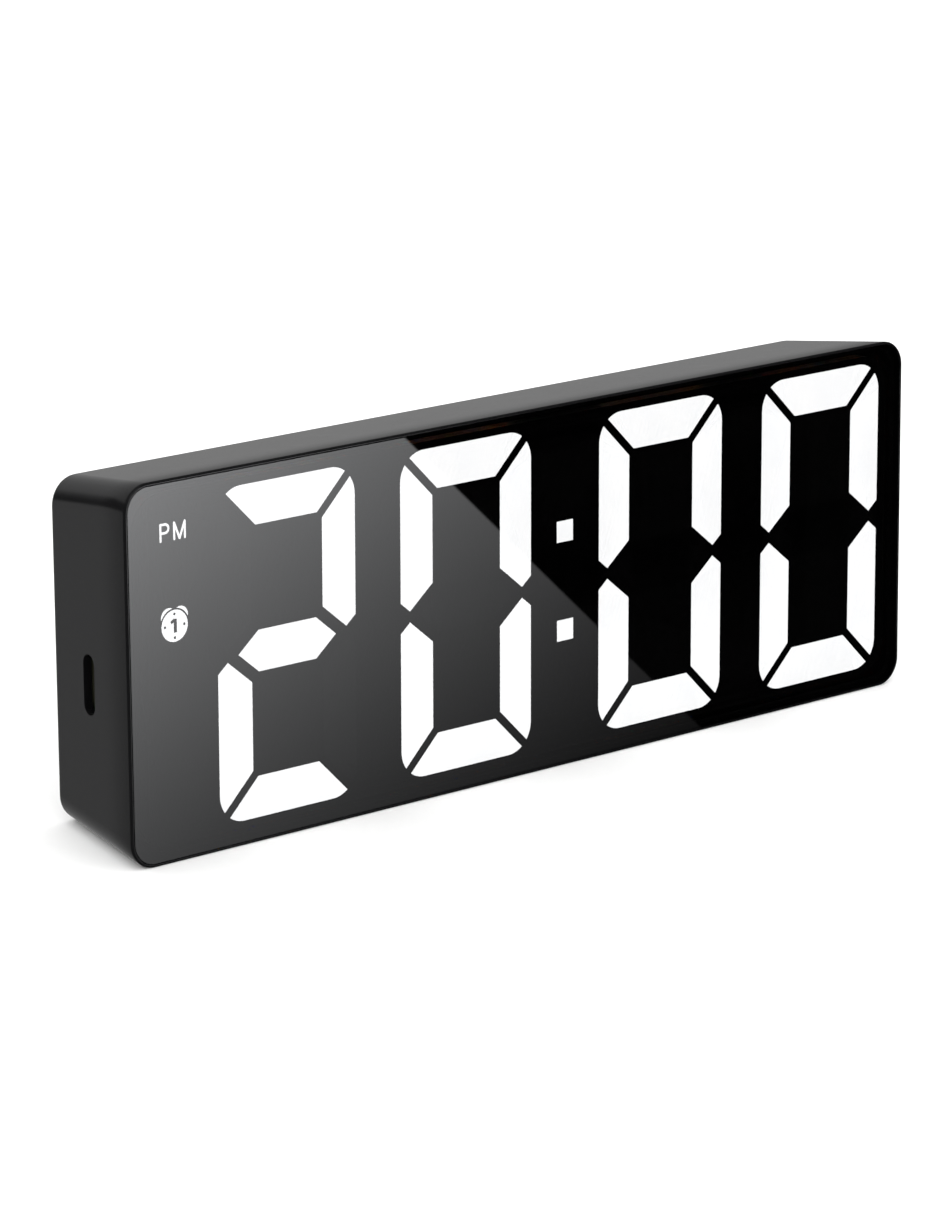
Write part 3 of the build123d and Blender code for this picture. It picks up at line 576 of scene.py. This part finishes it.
# the cells: printed sleeves round steel cans
cellSleeve = {
    "pitch": 0.0111,
    "springRoom": 0.0036,
    "nub": 0.0008,
    "rolledEnd": 0.0011,
    "sleeve": (0.011, 0.012, 0.014),
    "bandStart": 0.0125,  # from the middle towards the end with the nub
    "band": (0.52, 0.22, 0.07),
    "bandShade": (0.42, 0.17, 0.05),
    "bandShine": 0.75,
    "line": (0.75, 0.75, 0.74),
    "lineHalfWidth": 0.00035,
    "sign": (0.85, 0.84, 0.82),
    "signPlace": 0.0175,
    "signReach": 0.0011,
    "signHalfWidth": 0.00022,
    "steel": (0.68, 0.68, 0.67),
    "steelShade": (0.5, 0.5, 0.49),
    "roughness": (0.2, 0.32),
    "sleeveRougher": 0.04,
    "scuffRougher": 0.14,
    "flecks": 5200,
    "scuffs": 240,
    "brushing": 900,
    "brushStretch": (1, 8, 8),
    "reliefDepth": 0.00008,
    "coat": 0.5,
    "coatRoughness": 0.16,
}


def cellCanPaint(name):
    # the middle cell is turned round, and each has a plus sign near its nub
    settings = cellSleeve
    paint = Paint(name)
    place = paint.place()
    low, high = reach("battery_cells", across)
    half = (high - low) / 2
    right = paint.along(place, across) - (low + high) / 2
    rise = paint.along(place, upFace) - middle("battery_cells").dot(upFace)
    row = paint.node("ShaderNodeMath", {"operation": "ROUND"}, [rise / settings["pitch"]])
    run = right * (1 - (abs(row) < 0.5) * 2)
    side = 1 - (abs(paint.facing(across)) > 0.35)
    sleeveStart = settings["springRoom"] + settings["rolledEnd"] - half
    sleeveEnd = half - settings["nub"] - settings["rolledEnd"]
    sleeve = side * (run > sleeveStart) * (run < sleeveEnd)
    band = run > settings["bandStart"]
    line = abs(run - settings["bandStart"]) < settings["lineHalfWidth"]
    signRun = abs(run - settings["signPlace"])
    signRise = abs(rise - row * settings["pitch"])
    far, thin = settings["signReach"], settings["signHalfWidth"]
    strokes = [(signRun < far) * (signRise < thin), (signRun < thin) * (signRise < far)]
    sign = paint.node("ShaderNodeMath", {"operation": "MAXIMUM"}, strokes) * (paint.facing(inward) > 0)
    fleck = paint.noise(settings["flecks"], 2, 0.5)
    scuff = paint.between(paint.noise(settings["scuffs"], 4, 0.65), 0.55, 0.8)
    brushed = paint.noise(settings["brushing"], 3, 0.6, paint.stretched(settings["brushStretch"]))
    copper = paint.blend(fleck, settings["band"], settings["bandShade"])
    banded = paint.blend(band, settings["sleeve"], copper)
    lined = paint.blend(line, banded, settings["line"])
    printed = paint.blend(sign, lined, settings["sign"])
    bare = paint.blend(brushed, settings["steel"], settings["steelShade"])
    polish = paint.between(brushed, 0, 1, settings["roughness"])
    return paint.surface(
        colour=paint.blend(sleeve, bare, printed),
        metallic=1 - sleeve + sleeve * band * (1 - sign) * settings["bandShine"],
        roughness=polish + sleeve * settings["sleeveRougher"] + scuff * sleeve * settings["scuffRougher"],
        normal=paint.relief(sleeve * 0.6 + brushed * 0.04 + scuff * 0.04, settings["reliefDepth"], 0.8),
        coat=sleeve * settings["coat"],
        coatRoughness=settings["coatRoughness"],
    )


finishes = {
    "case_plastic": casePlasticPaint, "button_plastic": buttonPlasticPaint, "smoked_lens": smokedLensPaint,
    "lit_guide": litGuidePaint, "black_tape": blackTapePaint, "board_green": boardGreenPaint,
    "led_body": ledBodyPaint, "can_aluminium": canAluminiumPaint, "cell_can": cellCanPaint,
    "switch_plastic": switchPlasticPaint, "plunger_plastic": plungerPlasticPaint,
    **{slot: mouldingPaint for slot in mouldings}, **{slot: platedMetalPaint for slot in platedMetals},
}
materials = {slot: make(slot) for slot, make in finishes.items()}
for subpart in frame["record"]["subparts"]:
    for holder in nodes[subpart["node"]].material_slots:
        holder.material = materials[subpart["material_slot"]]
print("finishes:", len(materials))


def addMesh(name, points, faces, material):
    mesh = bpy.data.meshes.new(name)
    mesh.from_pydata([tuple(point) for point in points], [], faces)
    mesh.update()
    mesh.materials.append(material)
    made = bpy.data.objects.new(name, mesh)
    bpy.context.scene.collection.objects.link(made)
    return made


# small pieces that are soldered or pressed on
def addPiece(name, points, faces, slot, body="case"):
    piece = addMesh(name, points, faces, materials[slot])
    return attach(piece, body)


def ribbon(points, faces, path, wide, thick):
    # a strip bent along a path; wide and thick are half its width and half its thickness, as vectors
    first = len(points)
    for place in path:
        points += [place - wide - thick, place + wide - thick, place + wide + thick, place - wide + thick]
    last = len(points) - 4
    for ring in range(first, last, 4):
        for corner in range(4):
            following = (corner + 1) % 4
            faces.append((ring + corner, ring + following, ring + 4 + following, ring + 4 + corner))
    faces.append((first + 3, first + 2, first + 1, first))
    faces.append((last, last + 1, last + 2, last + 3))


chipLegs = {
    "width": 0.0003,
    "thickness": 0.00012,
    "pitch": 0.0008,
    "root": 0.0002,  # how far a leg starts inside the package
    "shoulder": 0.0003,
    "bend": 0.0002,
    "reach": 0.0010,
    "drop": 0.45,  # where a leg leaves the package, as a share of its height
}


def addLegs(name, package, sides, count):
    # bent legs along two or four sides of a package that lies on the front of the control board
    board = reach("control_board", outward)[1]
    spot = middle(package)
    spot = spot + outward * (board - spot.dot(outward))
    leaves = (reach(package, outward)[1] - board) * chipLegs["drop"]
    lies = chipLegs["thickness"] / 2
    points, faces = [], []
    for way, run in sides:
        low, high = reach(package, way)
        half = (high - low) / 2
        shoulder = half + chipLegs["shoulder"]
        bends = (
            (half - chipLegs["root"], leaves), (shoulder, leaves),
            (shoulder + chipLegs["bend"], lies), (half + chipLegs["reach"], lies),
        )
        for number in range(count):
            foot = spot + run * ((number - (count - 1) / 2) * chipLegs["pitch"])
            path = [foot + way * far + outward * rise for far, rise in bends]
            ribbon(points, faces, path, run * (chipLegs["width"] / 2), outward * lies)
    addPiece(name, points, faces, "socket_steel")


fourSides = [(across, upFace), (-across, upFace), (upFace, across), (-upFace, across)]
addLegs("clock_chip_legs", "clock_chip", fourSides, 8)
addLegs("display_driver_legs", "display_driver", fourSides[2:], 10)

usbContacts = {
    "count": 12,
    "pitch": 0.0005,
    "width": 0.00026,
    "thickness": 0.00004,
    "length": 0.0036,
    "setBack": 0.0005,  # from the mouth's end of the tongue
    "level": 0.00035,  # from the middle of the tongue's thickness to its faces
}


def addSocketContacts():
    # gold strips on both faces of the socket's tongue
    spot = middle("usb_socket_tongue")
    mouth = reach("usb_socket_tongue", across)[0]
    run = across * usbContacts["length"]
    wide, thick = upFace * (usbContacts["width"] / 2), inward * (usbContacts["thickness"] / 2)
    points, faces = [], []
    for side in (-1, 1):
        for number in range(usbContacts["count"]):
            shift = (number - (usbContacts["count"] - 1) / 2) * usbContacts["pitch"]
            start = Vector((mouth + usbContacts["setBack"], spot.y, spot.z))
            start = start + upFace * shift + inward * (side * usbContacts["level"])
            ribbon(points, faces, [start, start + run], wide, thick)
    addPiece("usb_contacts", points, faces, "pin_brass")


addSocketContacts()
print("small pieces added")


# the paper that the clock stands on
floorPaper = {
    "size": 6.0,
    "light": (0.93, 0.93, 0.925),
    "shade": (0.9, 0.9, 0.895),
    "roughness": (0.8, 0.95),
    "fibres": 900,
}


def makeFloor():
    size = floorPaper["size"] / 2
    corners = [(-size, -size, 0), (size, -size, 0), (size, size, 0), (-size, size, 0)]
    paint = Paint("floor_paper")
    fibre = paint.noise(floorPaper["fibres"], 4, 0.6)
    paper = paint.surface(
        colour=paint.blend(fibre, floorPaper["light"], floorPaper["shade"]),
        roughness=paint.between(fibre, 0, 1, floorPaper["roughness"]),
        specular=0.0,
    )
    floor = addMesh("floor", corners, [(0, 1, 2, 3)], paper)
    floor.visible_glossy = False


# the room's light. A pair is the stretch of a direction over which something fades in or out, and sweepGlow
# is how bright the sweep is at the two ends of sweepRun
room = {
    "daylight": 1.6,
    "seenWhite": 1.0,
    "roomDark": 0.004,
    "sweepStart": (0.36, 0.62),
    "sweepRun": (-0.5, -0.1),
    "sweepGlow": (0.3, 0.385),
    "gapEnd": (-0.35, -0.1),
    "gapFoot": (-0.14, -0.06),
    "gapTop": (0.2, 0.28),
    "lampFoot": (0.4, 0.65),
    "lampStart": (-0.55, -0.3),
    "lampEnd": (0.15, 0.42),
    "lampGlow": 0.5,
}


def makeRoom():
    # white to the eye, soft all round; reflections show a sweep behind the clock, brighter to the right
    # and with a gap at its left, and a lamp high in front of the clock
    world = bpy.data.worlds.new("room")
    bpy.context.scene.world = world
    world.use_nodes = True
    paint = Paint("room", world.node_tree)
    way = paint.node("ShaderNodeTexCoord", output="Generated")
    aside, deep, high = (paint.along(way, axis) for axis in ((1, 0, 0), (0, 1, 0), (0, 0, 1)))
    behind = paint.between(deep, *room["sweepStart"])
    glow = paint.between(aside, *room["sweepRun"], room["sweepGlow"], False)
    gap = paint.between(aside, *room["gapEnd"], (1, 0)) * paint.between(high, *room["gapFoot"])
    gap = gap * paint.between(high, *room["gapTop"], (1, 0))
    ceiling = paint.between(high, *room["lampFoot"]) * paint.between(deep, *room["lampStart"], (1, 0))
    lamp = ceiling * paint.between(aside, *room["lampEnd"], (1, 0)) * room["lampGlow"]
    mirrored = behind * glow * (1 - gap) + lamp + room["roomDark"]
    camera = paint.node("ShaderNodeLightPath", output="Is Camera Ray")
    glossy = paint.node("ShaderNodeLightPath", output="Is Glossy Ray")
    soft = (1 - camera) * (1 - glossy)
    level = camera * room["seenWhite"] + glossy * mirrored + soft * room["daylight"]
    light = paint.node("ShaderNodeBackground", {}, {"Color": (1, 1, 1, 1), "Strength": level})
    paint.node("ShaderNodeOutputWorld", {}, [light])


# where the eye is, seen from the middle of the lens
view = {
    "turn": -40.891,
    "rise": 14.346,
    "roll": -0.399,
    "right": 0.011004,
    "up": 0.002583,
    "distance": 0.82109,
    "lens": 152.0,
    "sensor": 36.0,
    "nearest": 0.02,
}


def makeCamera():
    turn, rise, roll = (math.radians(view[key]) for key in ("turn", "rise", "roll"))
    back = Vector((math.sin(turn) * math.cos(rise), -math.cos(turn) * math.cos(rise), math.sin(rise)))
    level = Vector((0, 0, 1)).cross(back).normalized()
    upright = back.cross(level)
    right = level * math.cos(roll) + upright * math.sin(roll)
    upward = upright * math.cos(roll) - level * math.sin(roll)
    place = right * -view["right"] + upward * -view["up"] + back * view["distance"]
    turned = Matrix((across, inward, upFace)).transposed()
    columns = Matrix((turned @ right, turned @ upward, turned @ back)).transposed()
    data = bpy.data.cameras.new("camera")
    data.lens = view["lens"]
    data.sensor_width = view["sensor"]
    data.clip_start = view["nearest"]
    camera = bpy.data.objects.new("camera", data)
    bpy.context.scene.collection.objects.link(camera)
    camera.matrix_world = Matrix.Translation(faceCentre + turned @ place) @ columns.to_4x4()
    bpy.context.scene.camera = camera
    return place


# the sheet that the lens mirrors: it stands parallel to the lens, in front of the clock. Apart from how far
# away it is, its measures are places on the lens, in millimetres to the right and up from the middle
mirroredSheet = {
    "away": 0.30,
    "sides": (-96, 60),
    "ends": (-46, 46),
    "edgeTop": (-28.5, 30.0),
    "edgeFoot": (36.5, -30.0),
    "edgeSoftness": 0.3,
    "halfWidth": 82.5,
    "halfHeight": 30.0,
    "level": (0.2229, -0.1491, 0.1139, 0.0166, -0.0171),  # flat, by right, up, right squared and both
    "lensShine": 0.0456,
    "tint": (0.985, 0.994, 1.012, 1),
}


def makeSheet(eye):
    # a point of the lens mirrors the sheet's point at this spread from the eye's mirrored place
    eyeRight, eyeUp, eyeOut = eye.x, eye.z, -eye.y
    spread = (eyeOut + mirroredSheet["away"]) / eyeOut
    (leftSide, rightSide), (foot, top) = mirroredSheet["sides"], mirroredSheet["ends"]
    corners = []
    for right, up in ((leftSide, foot), (rightSide, foot), (rightSide, top), (leftSide, top)):
        corners.append(
            faceCentre + outward * mirroredSheet["away"]
            + across * (eyeRight + spread * (right / 1000 - eyeRight))
            + upFace * (eyeUp + spread * (up / 1000 - eyeUp))
        )
    paint = Paint("sheet_light")
    place = paint.place()
    rightOnSheet = paint.along(place, across) - faceCentre.dot(across) - eyeRight
    upOnSheet = paint.along(place, upFace) - faceCentre.dot(upFace) - eyeUp
    right = (rightOnSheet / spread + eyeRight) * 1000
    up = (upOnSheet / spread + eyeUp) * 1000
    x = right / mirroredSheet["halfWidth"]
    y = up / mirroredSheet["halfHeight"]
    flat, byRight, byUp, bend, cross = mirroredSheet["level"]
    tone = flat + x * byRight + y * byUp + x * x * bend + x * y * cross
    tone = paint.node("ShaderNodeMath", {"operation": "MAXIMUM"}, [tone, 0.0])
    # from a screen's tone to light, and then to what the lens needs to show that light
    level = ((tone + 0.055) / 1.055) ** 2.4 / (mirroredSheet["lensShine"] * smokedLens["cover"])
    topRight, topUp = mirroredSheet["edgeTop"]
    footRight, footUp = mirroredSheet["edgeFoot"]
    length = math.hypot(footRight - topRight, footUp - topUp)
    past = (right - topRight) * ((topUp - footUp) / length) + (up - topUp) * ((footRight - topRight) / length)
    inside = paint.between(past, -mirroredSheet["edgeSoftness"], mirroredSheet["edgeSoftness"], (1, 0))
    glow = paint.node("ShaderNodeEmission", {}, {"Color": mirroredSheet["tint"], "Strength": level * inside})
    paint.node("ShaderNodeOutputMaterial", {}, [glow])
    sheet = addMesh("mirrored_sheet", corners, [(0, 1, 2, 3)], paint.material)
    for kind in ("visible_camera", "visible_diffuse", "visible_transmission", "visible_shadow"):
        setattr(sheet, kind, False)


makeFloor()
makeRoom()
makeSheet(makeCamera())
display = bpy.context.scene.view_settings
display.view_transform = "Standard"
display.look = "None"
print("studio ready")
